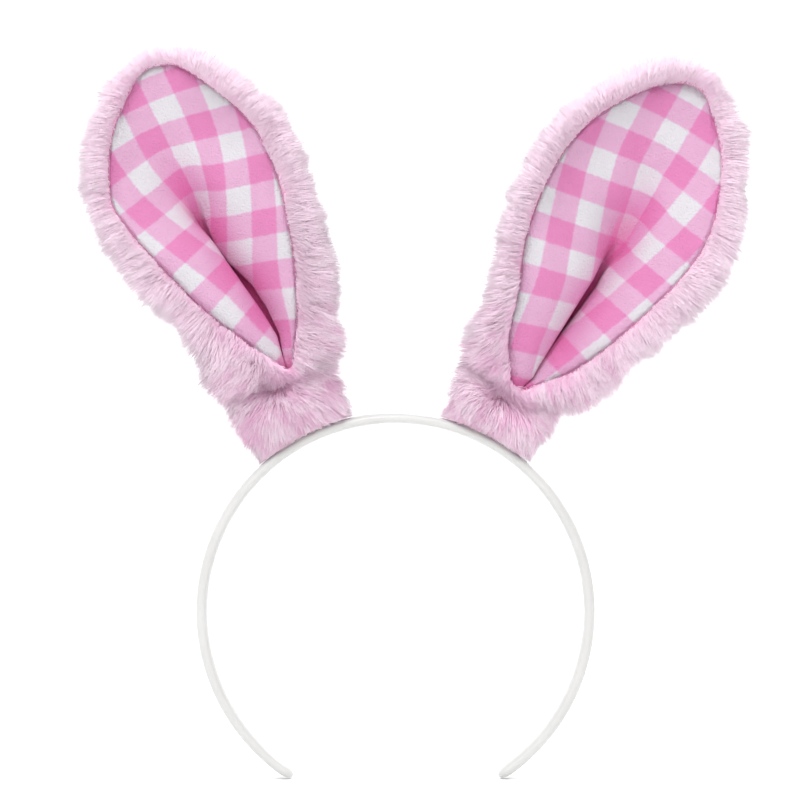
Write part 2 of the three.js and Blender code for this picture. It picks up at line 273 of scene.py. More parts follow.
def plush_material():
    """Pile. Its map holds a strand's tone in u and its height, root to tip, in v."""
    # The faint pink emission is a painted glow. It stands in for light that bounces between the strands and
    # is lost.
    material = plain("plush_pile", (0.8, 0.6, 0.7), 0.85, Sheen_Weight=0.12, Sheen_Roughness=0.5,
                     Emission_Color=(1.0, 0.55, 0.78, 1), Emission_Strength=0.05,
                     Sheen_Tint=(1.0, 0.9, 0.96, 1), Specular_IOR_Level=0.2)
    g = Graph(material)
    uv = g.node("UVMap", uv_map="OFBake").outputs["UV"]
    split = g.node("SeparateXYZ", {0: uv})
    # The ramp darkens and pinks the strands towards their roots: painted shade and painted pink bounce light
    # deep in the pile.
    along = g.ramp(split.outputs["Y"], [
        (0.0, (0.96, 0.64, 0.81)), (0.3, (0.96, 0.71, 0.85)), (0.65, (0.96, 0.79, 0.90)),
        (1.0, (0.96, 0.87, 0.93)),
    ])
    tone = g.ramp(split.outputs["X"], [
        (0.0, (0.88, 0.64, 0.78)), (0.5, (0.975, 0.94, 0.96)), (1.0, (1.0, 1.0, 1.0)),
    ])
    g.set("Base Color", g.mix(1.0, along, tone, "MULTIPLY"))
    return material


def grained(material, grain, dark, light, bump):
    """Colours and roughens a material by one noise. grain is its scale, detail and roughness."""
    g = Graph(material)
    scale, detail, roughness = grain
    noise = g.noise(scale, detail, g.place(), roughness)
    g.set("Base Color", g.ramp(noise, [(0.3, dark), (0.7, light)]))
    g.set("Normal", g.bump(noise, *bump))
    return material


def backing_material():
    """The knitted cloth that the pile grows from. Its deep pink is partly its own colour and partly painted
    shade: where it shows between the lining and the pile, it stands for the seam's shadow line.
    """
    material = plain("plush_backing", (0.6, 0.3, 0.44), 0.95, Sheen_Weight=0.2)
    return grained(material, (900, 3, 0.5), (0.66, 0.30, 0.47), (0.80, 0.44, 0.62), (0.5, 0.0004))


def gingham_material():
    """Brushed fleece with a stripe each way. A check is one unit of the Cloth map."""
    material = plain("gingham_fleece", (0.9, 0.6, 0.8), 0.9, Sheen_Weight=0.15, Sheen_Roughness=0.45,
                     Sheen_Tint=(1.0, 0.93, 0.97, 1), Specular_IOR_Level=0.15)
    g = Graph(material)
    place = g.place()
    uv = g.node("UVMap", uv_map="Cloth").outputs["UV"]
    wobble = g.node("TexNoise", {"Scale": 700.0, "Detail": 3.0, "Vector": place}).outputs["Color"]
    offset = g.node("VectorMath", {0: wobble, 1: (0.5, 0.5, 0.5)}, operation="SUBTRACT").outputs[0]
    small = g.node("VectorMath", {0: offset, "Scale": 0.10}, operation="SCALE").outputs[0]
    soft = g.node("VectorMath", {0: uv, 1: small}, operation="ADD").outputs[0]
    split = g.node("SeparateXYZ", {0: soft})

    def stripe(value):
        wave = g.math("PINGPONG", value, 1.0)
        edge = g.node("MapRange", {"Value": wave, "From Min": 0.45, "From Max": 0.55},
                      interpolation_type="SMOOTHSTEP")
        return edge.outputs[0]

    both = g.math("ADD", stripe(split.outputs["X"]), stripe(split.outputs["Y"]))
    dye = g.ramp(g.math("MULTIPLY", both, 0.5), [
        (0.0, (0.73, 0.72, 0.755)), (0.5, (0.73, 0.42, 0.615)), (1.0, (0.73, 0.245, 0.49)),
    ])
    nap = g.noise(1500, 4, place, 0.65)
    patch = g.noise(160, 2, place)
    shade = g.ramp(g.math("MULTIPLY_ADD", nap, 0.6), [(0.25, (0.78, 0.75, 0.77)), (0.65, (1, 1, 1))])
    dyed = g.mix(0.8, dye, shade, "MULTIPLY")
    blot = g.ramp(patch, [(0.3, (0.95, 0.93, 0.94)), (0.7, (1, 1, 1))])
    worn = g.mix(0.6, dyed, blot, "MULTIPLY")
    pleat_shade = g.node("Attribute", attribute_name="pleat_shade").outputs["Fac"]
    valley_shade = g.node("Attribute", attribute_name="valley_shade").outputs["Fac"]
    # Painted shade in the valley above the slit: the cloth is multiplied towards deep pink.
    deep = g.mix(valley_shade, worn, (0.90, 0.56, 0.74, 1), "MULTIPLY")
    # Painted shade inside the pleat, at its lips and at the pinched bottom: the cloth goes to deep pink
    # (0.70, 0.10, 0.33).
    g.set("Base Color", g.mix(pleat_shade, deep, (0.70, 0.10, 0.33, 1)))
    rough = g.bump(nap, 1.0, 0.001)
    g.set("Normal", g.bump(patch, 0.25, 0.0012, rough))
    return material


def band_material():
    material = plain("band_plastic", (0.83, 0.825, 0.80), 0.32, Subsurface_Weight=0.15,
                     Subsurface_Radius=(0.004, 0.004, 0.003), Coat_Weight=0.1, Coat_Roughness=0.3)
    g = Graph(material)
    place = g.place()
    cloud = g.noise(45, 3, place)
    g.set("Base Color", g.ramp(cloud, [(0.3, (0.54, 0.538, 0.53)), (0.7, (0.58, 0.578, 0.57))]))
    grain = g.noise(2600, 2, place)
    g.set("Roughness", g.node("MapRange", {"Value": cloud, "To Min": 0.26, "To Max": 0.40}).outputs[0])
    g.set("Normal", g.bump(grain, 0.12, 0.0001))
    return material


def wadding_material():
    material = plain("wadding", (0.88, 0.88, 0.86), 1.0, Sheen_Weight=0.3)
    return grained(material, (700, 5, 0.7), (0.78, 0.78, 0.76), (0.93, 0.93, 0.91), (0.8, 0.001))


def thread_material():
    material = plain("sewing_thread", (0.55, 0.2, 0.36), 0.6, Sheen_Weight=0.3)
    g = Graph(material)
    twist = g.node("TexWave", {"Scale": 1400.0, "Distortion": 2.0, "Vector": g.place()},
                   bands_direction="DIAGONAL").outputs["Fac"]
    g.set("Base Color", g.ramp(twist, [(0.2, (0.42, 0.13, 0.25)), (0.8, (0.66, 0.28, 0.46))]))
    g.set("Normal", g.bump(twist, 0.5, 0.0001))
    return material


def glue_material():
    material = plain("hot_melt_glue", (0.82, 0.79, 0.71), 0.25, Subsurface_Weight=0.5,
                     Subsurface_Radius=(0.003, 0.003, 0.002), Coat_Weight=0.4, Coat_Roughness=0.15)
    return grained(material, (260, 2, 0.5), (0.76, 0.72, 0.62), (0.86, 0.84, 0.78), (0.3, 0.0004))


# ---- mesh helpers -------------------------------------------------------------------------
def mesh_piece(name, points, faces, material):
    """A new smooth-shaded object from points in millimetres."""
    mesh = bpy.data.meshes.new(name)
    mesh.from_pydata((np.asarray(points) * MM).tolist(), [], [list(map(int, face)) for face in faces])
    mesh.validate()
    mesh.update()
    mesh.shade_smooth()
    mesh.materials.append(material)
    return new_object(name, mesh)


def ring_faces(rings, count):
    """Quads between `rings` rings of `count` points, and a fan to a pole at each end."""
    faces = []
    for ring in range(rings - 1):
        base = ring * count
        for i in range(count):
            j = (i + 1) % count
            faces.append((base + i, base + count + i, base + count + j, base + j))
    first, last = rings * count, rings * count + 1
    top = (rings - 1) * count
    for i in range(count):
        j = (i + 1) % count
        faces.append((first, i, j))
        faces.append((last, top + j, top + i))
    return faces


def ring_piece(name, rings, first_pole, last_pole, material):
    """A closed mesh through rings of points, with a pole at each end."""
    rings = np.asarray(rings, float)
    points = np.vstack([rings.reshape(-1, 3), [first_pole], [last_pole]])
    piece = mesh_piece(name, points, ring_faces(len(rings), rings.shape[1]), material)
    outward(piece)
    return piece


def mesh_points(piece):
    points = np.empty(len(piece.data.vertices) * 3)
    piece.data.vertices.foreach_get("co", points)
    return points.reshape(-1, 3) / MM


def triangle_corners(mesh):
    """The three vertices of each of a mesh's triangles."""
    mesh.calc_loop_triangles()
    index = np.empty(len(mesh.loop_triangles) * 3, dtype=np.int32)
    mesh.loop_triangles.foreach_get("vertices", index)
    return index.reshape(-1, 3)


def outward(piece):
    """Turns a closed mesh's faces outward: its signed volume says which way they look."""
    points, index = mesh_points(piece), triangle_corners(piece.data)
    a, b, c = (points[index[:, k]] for k in range(3))
    if np.einsum("ij,ij->i", a, np.cross(b, c)).sum() < 0:
        piece.data.flip_normals()


def apply_modifiers(piece):
    graph = bpy.context.evaluated_depsgraph_get()
    mesh = bpy.data.meshes.new_from_object(piece.evaluated_get(graph))
    piece.modifiers.clear()
    piece.data = mesh


def unit(vectors):
    return vectors / np.maximum(np.linalg.norm(vectors, axis=-1, keepdims=True), 1e-9)


def smoothstep(value, low, high):
    t = np.clip((np.asarray(value, float) - low) / (high - low), 0, 1)
    return t * t * (3 - 2 * t)


def closed_spline(points, per_span=24):
    """Catmull-Rom curve through a closed list of points."""
    p = np.asarray(points, float)
    t = (np.arange(per_span) / per_span)[None, :, None]
    a, b, c, d = (np.roll(p, shift, 0)[:, None, :] for shift in (1, 0, -1, -2))
    square = (2 * a - 5 * b + 4 * c - d) * t ** 2
    cube = (3 * b - a - 3 * c + d) * t ** 3
    return (0.5 * (2 * b + (c - a) * t + square + cube)).reshape(-1, 2)


def ripple(seed, wavelengths=(3.0, 9.0)):
    """A smooth random field of places in millimetres, about -1 to 1: a sum of seven waves."""
    waves = 7
    rng = np.random.default_rng(seed)
    direction = unit(rng.normal(size=(waves, 3)))
    wave = direction * (2 * np.pi / rng.uniform(*wavelengths, waves))[:, None]
    phase = rng.uniform(0, 2 * np.pi, waves)
    return lambda points: np.sin(np.asarray(points) @ wave.T + phase).sum(-1) / math.sqrt(waves)


# ---- the ear's own plane ------------------------------------------------------------------
def round_centre(radius, angle):
    return CENTRE[0] + radius * np.cos(angle), CENTRE[1] + radius * np.sin(angle)


class Ear:
    """Shapes of one ear. Its local points are (across, depth, along) in millimetres from the
    neck's axis, and u and w stand for across and along. Depth is negative towards the front."""

    def __init__(self, facts):
        self.__dict__.update(facts)
        lean = math.radians(self.lean * self.side)
        self.across = np.array([math.cos(lean), 0, -math.sin(lean)])
        self.along = np.array([math.sin(lean), 0, math.cos(lean)])
        joint = next(j for j in frame["joints"] if j["name"] == f"{self.name}_ear_tilt")
        self.hinge = np.array(joint["pos_m"], float) / MM
        angle = math.radians(FOOT_ANGLE * self.side)
        self.out = np.array([math.sin(angle), 0, math.cos(angle)])          # away from the hoop
        self.tangent = np.array([math.cos(angle), 0, -math.sin(angle)])     # along the hoop
        self.seam_line = closed_spline(self.seam)
        self.seam_radius = self.radius_of(self.seam_line)
        self.cover_radius = self.radius_of(closed_spline(self.cover))
        self.lining = lining_rows(self)
        spots = self.lining["points"].reshape(-1, 3)
        self.lining_depth = spots[:, 1]
        self.lining_tree = KDTree(len(spots))
        for i, (u, _, w) in enumerate(spots):
            self.lining_tree.insert((u, w, 0), i)
        self.lining_tree.balance()

    def radius_of(self, outline):
        """The outline's distance from CENTRE, as a function of the angle."""
        offset = outline - CENTRE
        angle = np.arctan2(offset[:, 1], offset[:, 0])
        radius = np.linalg.norm(offset, axis=1)
        order = np.argsort(angle)
        return lambda a: np.interp(a, angle[order], radius[order], period=2 * np.pi)

    def part_of(self, u, w):
        """How far out a place is: 0 at CENTRE and 1 on the seam."""
        offset = np.stack([u - CENTRE[0], w - CENTRE[1]], -1)
        angle = np.arctan2(offset[..., 1], offset[..., 0])
        return np.linalg.norm(offset, axis=-1) / self.seam_radius(angle)

    def world(self, local):
        local = np.asarray(local, float)
        return (self.hinge + local[..., 0:1] * self.across + local[..., 2:3] * self.along
                + local[..., 1:2] * np.array([0.0, 1.0, 0.0]))

    def local(self, world):
        offset = np.asarray(world, float) - self.hinge
        return np.stack([offset @ self.across, offset[..., 1], offset @ self.along], -1)

    def height(self, w):
        """0 at the lining's lowest point and 1 at its top."""
        return np.clip((w - APEX) / (TOP - APEX), 0, 1)

    def rim(self, w):
        """Depth of the seam line."""
        return RIM_AT_APEX - RIM_FORWARD * np.sin(np.pi * self.height(w))

    def bowl(self, u, w, part):
        """Depth of the hollow that the lining lies in, deepest along the fold line."""
        deep = FOLD_DEPTH * np.sin(np.pi * self.height(w) ** 0.75)
        line = self.fold[0] + (self.fold[1] - self.fold[0]) * smoothstep(w, 8, 80)
        beside = np.hypot(u - line, 3) - 3          # the fold's bottom is rounded
        fold = 0.35 + 0.65 * np.exp(-beside / FOLD_WIDTH)
        return self.rim(w) + deep * fold * np.maximum(0, 1 - part ** 2) ** 0.8

    def floor(self, u, w, part):
        """Depth of the plush side of the hollow, behind the deepest fold of the lining nearby."""
        reach, gap_to_lining, gap_to_bowl = 2.6, 1.7, 1.0
        depth = []
        for place in zip(np.ravel(u), np.ravel(w)):
            near = self.lining_tree.find_range((*place, 0), reach)
            depth.append(max((self.lining_depth[i] for _, i, _ in near), default=NOWHERE))
        behind = np.reshape(depth, np.shape(u)) + gap_to_lining
        return np.maximum(behind, self.bowl(u, w, part) + gap_to_bowl)

    def cloth_radius(self, angle):
        """Outline of the plush cloth: the pile makes up the rest of the silhouette."""
        seam = self.seam_radius(angle)
        return np.maximum(seam + 1.6, self.cover_radius(angle) - PILE)

    def pile_room(self, points):
        """Pile length that ends on the ear's outline, as a share of the full length."""
        angle = np.arctan2(points[:, 2] - CENTRE[1], points[:, 0] - CENTRE[0])
        return np.clip((self.cover_radius(angle) - self.cloth_radius(angle) + 2.4) / PILE, 0.6, 1.1)


# ---- plush skin ---------------------------------------------------------------------------
def blade_rings(ear, count=140):
    """The padded blade: floor under the lining, rolled rim and bulging back."""
    angle = np.linspace(0, 2 * np.pi, count, endpoint=False)
    seam, cloth = ear.seam_radius(angle), ear.cloth_radius(angle)

    def ring(radius, depth_of):
        u, w = round_centre(radius, angle)
        return np.stack([u, depth_of(u, w), w], -1)

    rings = []
    for part in (0.15, 0.3, 0.45, 0.6, 0.75, 0.88, 0.96):
        rings.append(ring(seam * part, lambda u, w: ear.floor(u, w, np.full(count, part))))
    start = seam * 0.99
    for turn in np.linspace(0.0, 1.0, 11):
        radius = start + (cloth - start) * math.sin(turn * math.pi / 2) ** 0.9
        rings.append(ring(radius, lambda u, w: ear.rim(w) - rim_roll(turn)))
    for part in (0.985, 0.95, 0.88, 0.78, 0.66, 0.52, 0.38, 0.25, 0.12):
        inner = np.minimum(1, cloth * part / seam)
        rings.append(ring(cloth * part, lambda u, w: back_depth(ear, u, w, inner, part)))
    return rings


def rim_roll(turn):
    """How far the rim stands in front of the seam line, from the seam round to the blade's edge."""
    groove = 2.6 * (1 - float(smoothstep(turn, 0, 0.25)))
    return 2.4 * math.sin(math.pi * turn) ** 0.6 - 4.6 * turn ** 2 - groove


def back_depth(ear, u, w, inner, part):
    """Depth of the blade's back: behind the wadding, and thinner towards the edge."""
    thin, thick, wadding = 3.0, 5.5, 3.6
    wall = thin + thick * math.sqrt(max(0, 1 - part ** 4))
    hollow = np.where(inner < 0.97, ear.floor(u, w, inner) + wadding, NOWHERE)
    return np.maximum(ear.bowl(u, w, inner) + wall, hollow)


def neck_rings(ear):
    """A short tube of gathered cloth from the hoop up into the blade."""
    low = ear.seam_line[:, 1].min()     # the lining's lowest point
    stations = [  # along, half width, half depth, depth offset
        (-9.1, 12.0, 3.6, 0), (-8.6, 12.5, 4.0, 0), (-5, 12.2, 4.4, 0), (-1, 12.0, 4.8, -0.2),
        (low - 4.5, 12.2, 5.0, -0.2), (low + 1, 12.8, 4.0, 2.2), (low + 7, 13.0, 3.5, 4.5),
        (low + 13, 11.0, 2.5, 7.0),
    ]
    turn = np.linspace(0, 2 * np.pi, 40, endpoint=False)
    oval = np.sign(np.cos(turn)) * np.abs(np.cos(turn)) ** 0.8
    pleats = 1 + 0.05 * np.cos(9 * turn)
    rings = []
    for along, wide, deep, offset in stations:
        bend = np.clip(-along / 9.0, 0, 1)      # 1 on the hoop, 0 from the neck's axis up
        axis = ear.out if along < 0 else ear.along
        side = unit(bend * ear.tangent + (1 - bend) * ear.across)
        reach = oval * (wide + ear.neck_wide)
        ring = (ear.hinge + along * axis + np.outer(reach + ear.neck_shift, side)
                + np.outer(np.sin(turn) * deep * pleats + offset, [0, 1, 0]))
        ring += np.outer(-bend * reach ** 2 / (2 * OUTER), ear.out)      # down with the hoop's curve
        rings.append(ring)
    return rings


def make_skin(ear, material):
    """The plush cloth: blade and neck, joined, remeshed into one skin and smoothed."""
    rings = [ear.world(ring) for ring in blade_rings(ear)]
    u, w = CENTRE
    depth, thickness = float(ear.floor(u, w, 0.0)), 6.5
    poles = [ear.world([u, depth, w]), ear.world([u, depth + thickness, w])]
    blade = ring_piece(f"{ear.name}_plush_cover", rings, *poles, material)
    neck = neck_rings(ear)
    tube = ring_piece("neck", neck, neck[0].mean(0), neck[-1].mean(0), material)
    with bpy.context.temp_override(active_object=blade, selected_editable_objects=[blade, tube]):
        bpy.ops.object.join()
    remesh = blade.modifiers.new("remesh", "REMESH")
    remesh.mode = "VOXEL"
    remesh.voxel_size = SKIN_VOXEL * MM
    smooth = blade.modifiers.new("smooth", "SMOOTH")
    smooth.factor = 0.5
    smooth.iterations = 6
    apply_modifiers(blade)
    dimple(ear, blade)
    blade.data.materials.clear()
    blade.data.materials.append(material)
    blade.data.shade_smooth()
    return blade


def dimple(ear, skin):
    """The tack stitch pulls the front of the neck in."""
    half_width, half_height, deep = 4.5, 3.5, 3.4
    points = mesh_points(skin)
    local = ear.local(points)
    u, w = ear.tack
    reach = np.hypot((local[:, 0] - u) / half_width, (local[:, 2] - w) / half_height)
    points[:, 1] += deep * np.exp(-reach ** 2) * (local[:, 1] < 0)
    skin.data.vertices.foreach_set("co", (points * MM).ravel())
    skin.data.update()


# ---- pile ---------------------------------------------------------------------------------
FRONT = np.array([0.0, -1.0, 0.0])
DOWN = np.array([0.0, 0.0, -1.0])


def skin_samples(skin, count, rng, keep):
    """Random points on a mesh, by area, with their normals. `keep` thins them by place."""
    index = triangle_corners(skin.data)
    points = mesh_points(skin)
    normals = np.empty(len(points) * 3)
    skin.data.vertices.foreach_get("normal", normals)
    normals = normals.reshape(-1, 3)
    a, b, c = (points[index[:, k]] for k in range(3))
    area = np.linalg.norm(np.cross(b - a, c - a), axis=1) / 2
    chance = area * keep((a + b + c) / 3, normals[index].mean(1))
    chosen = rng.choice(len(index), count, p=chance / chance.sum())
    r1, r2 = np.sqrt(rng.random(count)), rng.random(count)
    weight = np.stack([1 - r1, r1 * (1 - r2), r1 * r2], -1)[:, :, None]
    root = (points[index[chosen]] * weight).sum(1)
    normal = (normals[index[chosen]] * weight).sum(1)
    return root, unit(normal)


def pile_mask(ear):
    """No pile grows under the lining, inside the hollow or on the hoop. It's dense at the seam."""
    foot = (ear.hinge - HINGE_HEIGHT * ear.out) @ ear.out

    def keep(points, normals):
        u, depth, w = np.moveaxis(ear.local(points), -1, 0)
        part = ear.part_of(u, w)
        front = depth < ear.rim(w) + 2.2 + 60 * np.maximum(0, 0.9 - part)
        inside = (part < 0.985) & (normals[:, 1] < 0.2) & (w > APEX * 0.6)
        hollow = inside & (front | (normals[:, 1] < 0))
        on_hoop = (points @ ear.out) - foot < 0.4
        by_seam = np.exp(-np.abs(part - 1.0) / 0.04) * (normals[:, 1] < 0)
        return np.where(hollow | on_hoop, 0.0, 1.0 + 1.2 * by_seam)
    return keep


def pile_flow(ear, local):
    """The way that the pile lies: outward from the lining, parted at the tack stitch, upward on
    the back and downward on the foot."""
    u, w = local[:, 0], local[:, 2]
    level = np.zeros(len(u))
    blade = unit(np.stack([(u - CENTRE[0]) / 27 ** 2, level, (w - CENTRE[1] - 6) / 58 ** 2], -1))
    tack = unit(np.stack([u - ear.tack[0], level, w - ear.tack[1]], -1))
    tack[:, 2] = np.minimum(tack[:, 2], 0.3)         # the pile above the stitch parts sideways
    near = np.exp(-((u - ear.tack[0]) / 16) ** 2 - ((w - ear.tack[1]) / 13) ** 2)
    near = (near * (1 - smoothstep(local[:, 1], -2, 3)))[:, None]
    back = smoothstep(local[:, 1], ear.rim(w) + 6, ear.rim(w) + 14)[:, None]
    foot = smoothstep(-w, -6, 8)[:, None]
    flow = blade * (1 - near) + tack * near
    flow = flow * (1 - 0.65 * back) + np.array([0.0, 0.0, 0.5]) * back
    flow = flow * (1 - 0.5 * foot) + np.array([0.0, 0.0, -0.7]) * foot
    return flow[:, 0:1] * ear.across + flow[:, 2:3] * ear.along


def grow_pile(ear, skin, material):
    """One ear's pile. Each strand has a root, a middle and a tip."""
    rng = np.random.default_rng(ear.seed)
    root, normal = skin_samples(skin, STRANDS, rng, pile_mask(ear))
    local = ear.local(root)
    u, w = local[:, 0], local[:, 2]
    facing_front = normal[:, 1] < 0
    beyond = np.maximum(0, ear.part_of(u, w) - 1)
    at_seam = np.exp(-beyond / 0.035) * facing_front * smoothstep(w, 3, 9)
    from_tack = np.hypot(u - ear.tack[0], w - ear.tack[1])
    at_tack = np.exp(-from_tack / 4.0) * facing_front
    waves = [ripple(ear.seed + k, wavelengths=(5.0, 16.0))(root) for k in range(4)]
    sway, loft = np.stack(waves[:3], -1), waves[3]

    length, guard = pile_length(ear, local, at_seam, at_tack, loft, rng)
    start, end = pile_ways(ear, local, normal, at_seam, sway, loft, rng)
    middle = root + start * (length * 0.5)[:, None]
    tip = middle + end * (length * 0.5)[:, None]
    middle, tip, leader = gather_tufts(root, middle, tip, guard, rng)
    overlap = rng.uniform(-0.3, 0.9, STRANDS)
    middle, tip = clear_of_hoop(middle, overlap), clear_of_hoop(tip, overlap)
    nearest = rng.uniform(0.965, 1.005, STRANDS)
    middle, tip = clear_of_lining(ear, middle, nearest), clear_of_lining(ear, tip, nearest)

    low = 1 - smoothstep(w, -5, 60)                 # the pile is darker and more varied low down
    tone = 0.72 + 0.06 * loft + rng.normal(0, 0.10, STRANDS)
    tone += (0.10 + 0.14 * low) * rng.normal(size=STRANDS)[leader]
    # Painted shade: the pile is darker around the tack's dimple and along the seam, where those hollows lie
    # in shade.
    tone += 0.22 * low * waves[0] - 0.34 * low - 0.6 * at_tack - 0.22 * at_seam
    tone = np.clip(tone, 0.02, 0.98)
    fewer_but_thicker = 1.0
    radius = rng.uniform(0.07, 0.12, STRANDS) * np.where(guard, 0.7, 1.0) * fewer_but_thicker
    root = root - normal * 0.4                      # rooted inside the cloth
    facing = unit(normal + FRONT * at_seam[:, None])
    pieces = []
    for number, first in enumerate(range(0, STRANDS, STRANDS_PER_PIECE)):
        part = slice(first, first + STRANDS_PER_PIECE)
        strands = [values[part] for values in (root, middle, tip, facing, radius, tone)]
        pieces.append(strand_piece(f"{ear.name}_plush_pile_{number + 1}", *strands, material))
    return pieces


def pile_length(ear, local, at_seam, at_tack, loft, rng):
    """Each strand's length, and whether it is a guard hair: longer, finer and out of the tufts."""
    w = local[:, 2]
    length = PILE * (0.95 + 0.07 * loft + rng.normal(0, 0.10, STRANDS))
    length *= 1 - 0.30 * at_seam * rng.uniform(0.2, 1.4, STRANDS) - 0.35 * at_tack
    guard = rng.random(STRANDS) < GUARD_SHARE
    length *= np.where(guard, 1.17, 1.0) * (1 + 0.22 * smoothstep(w, 100, 122))
    length *= np.where(w > 12, ear.pile_room(local), 1 - 0.25 * smoothstep(-w, -2, 9))
    return length, guard


def pile_ways(ear, local, normal, at_seam, sway, loft, rng):
    """The ways that a strand's lower and upper halves point. Beside the seam a strand stands up
    first, and then rolls outward."""
    upright = at_seam[:, None]
    flow = pile_flow(ear, local)
    away = unit(np.stack([local[:, 0] - CENTRE[0], local[:, 2] - CENTRE[1]], -1))
    away = away[:, 0:1] * ear.across + away[:, 1:2] * ear.along
    flat = smoothstep(local[:, 2], 8, 26) * (normal[:, 1] < 0.3)
    lift = (0.62 + 0.10 * loft - 0.15 * flat)[:, None]
    jitter = rng.normal(0, 0.11, (STRANDS, 3))
    start = unit((normal * lift + flow * 0.62) * (1 - 0.9 * upright) + (FRONT + 0.25 * away) * upright
                 + sway * 0.09 + jitter)
    end = unit(normal * (lift - 0.25) * (1 - 0.8 * upright) + flow * 0.85 + away * 0.7 * upright
               + sway * 0.19 + jitter * 1.6 + DOWN * 0.18)
    return start, end


def gather_tufts(root, middle, tip, guard, rng):
    """Leans each strand to the nearest tuft's leader. Gives the new middles and tips, and the
    number of each strand's leader."""
    leaders = rng.choice(STRANDS, STRANDS // TUFT_SIZE, replace=False)
    tree = KDTree(len(leaders))
    for i, leader in enumerate(leaders):
        tree.insert(root[leader], i)
    tree.balance()
    owner = leaders[[tree.find(p)[1] for p in root]]
    pull = (rng.uniform(0.2, 0.65, STRANDS)[owner] * rng.uniform(0.7, 1.0, STRANDS))[:, None]
    reach = np.linalg.norm(root - root[owner], axis=1, keepdims=True)
    pull = pull * np.exp(-(reach / 2.0) ** 2) * np.where(guard, 0.3, 1.0)[:, None]
    tip = tip + (tip[owner] - tip) * pull
    middle = middle + (middle[owner] - middle) * pull * 0.45
    return middle, tip, owner


def clear_of_hoop(points, overlap):
    """Keeps pile out of the hoop: it ends on the outer face, or hangs past it beside the hoop by
    overlap."""
    centre = np.array([0, 0, -BAND["inner"]])
    offset = points - centre
    radius = np.hypot(offset[:, 0], offset[:, 2])
    beside = smoothstep(np.abs(points[:, 1]), BAND["half_width"] - 0.6, BAND["half_width"] + 0.5)
    nearest = OUTER + 0.25 - overlap * beside
    push = np.where(radius < nearest, nearest / np.maximum(radius, 1), 1.0)
    offset[:, 0] *= push
    offset[:, 2] *= push
    return offset + centre


def clear_of_lining(ear, points, nearest):
    """Keeps pile from falling across the seam onto the lining. nearest is a share of its radius."""
    local = ear.local(points)
    part = ear.part_of(local[:, 0], local[:, 2])
    inside = (part < nearest) & (local[:, 1] < ear.rim(local[:, 2]) + 3) & (local[:, 2] > APEX)
    scale = np.where(inside, nearest / np.maximum(part, 0.5), 1.0)
    local[:, 0] = CENTRE[0] + (local[:, 0] - CENTRE[0]) * scale
    local[:, 2] = CENTRE[1] + (local[:, 2] - CENTRE[1]) * scale
    return ear.world(local)


def strand_piece(name, root, middle, tip, normal, radius, tone, material):
    """Three-sided tapering strands as one mesh: two rings and a tip each."""
    count = len(root)
    axis = unit(tip - root)
    side = unit(np.cross(axis, normal + 1e-3))
    other = np.cross(axis, side)
    points = np.empty((count, 7, 3))
    shading = np.empty((count, 7, 3))
    for k in range(3):
        turn = 2 * math.pi * k / 3
        spoke = side * math.cos(turn) + other * math.sin(turn)
        points[:, k] = root + spoke * radius[:, None]
        points[:, 3 + k] = middle + spoke * (radius * 0.85)[:, None]
        shading[:, k] = shading[:, 3 + k] = spoke * 0.38 + normal * 0.9
    points[:, 6] = tip
    shading[:, 6] = normal
    shading = unit(shading)
    triangles = []
    for k in range(3):
        j = (k + 1) % 3
        triangles += [(k, j, 3 + j), (k, 3 + j, 3 + k), (3 + k, 3 + j, 6)]
    triangles.append((2, 1, 0))
    faces = (np.array(triangles)[None] + 7 * np.arange(count)[:, None, None]).reshape(-1, 3)

    mesh = bpy.data.meshes.new(name)
    mesh.vertices.add(count * 7)
    mesh.vertices.foreach_set("co", (points * MM).ravel())
    mesh.loops.add(len(faces) * 3)
    mesh.loops.foreach_set("vertex_index", faces.ravel().astype(np.int32))
    mesh.polygons.add(len(faces))
    mesh.polygons.foreach_set("loop_start", np.arange(0, len(faces) * 3, 3, dtype=np.int32))
    height = np.array([0, 0, 0, 0.5, 0.5, 0.5, 1.0])
    uv = np.stack([np.repeat(tone, 7), np.tile(height, count) * 0.96 + 0.02], -1)
    layer = mesh.uv_layers.new(name="OFBake")
    layer.data.foreach_set("uv", uv[faces.ravel()].ravel().astype(np.float32))
    mesh.update(calc_edges=True)
    mesh.shade_smooth()
    mesh.normals_split_custom_set_from_vertices(shading.reshape(-1, 3).tolist())
    mesh.materials.append(material)
    return new_object(name, mesh)


# ---- lining -------------------------------------------------------------------------------
def cone_map(ear, u, w, side):
    """Gingham coordinates, in checks. The pleat takes a wedge of cloth out below the cone's
    vertex, so the checks turn one way on each side of it. side is 1 left of the pleat, -1 right."""
    cone = ear.cone
    gathered = 1 - smoothstep(w, 14, 46)      # the seam draws the cloth down to the lowest point
    shift = ear.gather[0] if side > 0 else ear.gather[1]
    du = u + shift[0] * gathered - cone["vertex"][0]
    dw = w + shift[1] * gathered - cone["vertex"][1]
    cut = math.radians(cone["cut"])
    turn = np.arctan2(-du, dw)
    turn = np.where(turn > cut, turn - 2 * np.pi, turn)
    turn = np.where(turn < cut - 2 * np.pi, turn + 2 * np.pi, turn)
    below = dw < 0
    turn = np.where(below & (side > 0) & (turn < cut - 1.5 * np.pi), turn + 2 * np.pi, turn)
    turn = np.where(below & (side < 0) & (turn > cut - 0.5 * np.pi), turn - 2 * np.pi, turn)
    radius = np.hypot(du, dw) * cone["stretch"]
    angle = (turn - (cut - np.pi)) * cone["keep"] + math.radians(cone["tilt"])
    i = -radius * np.sin(angle) / CHECK + cone["offset"][0]
    j = radius * np.cos(angle) / CHECK + cone["offset"][1]
    return np.stack([i, j], -1)


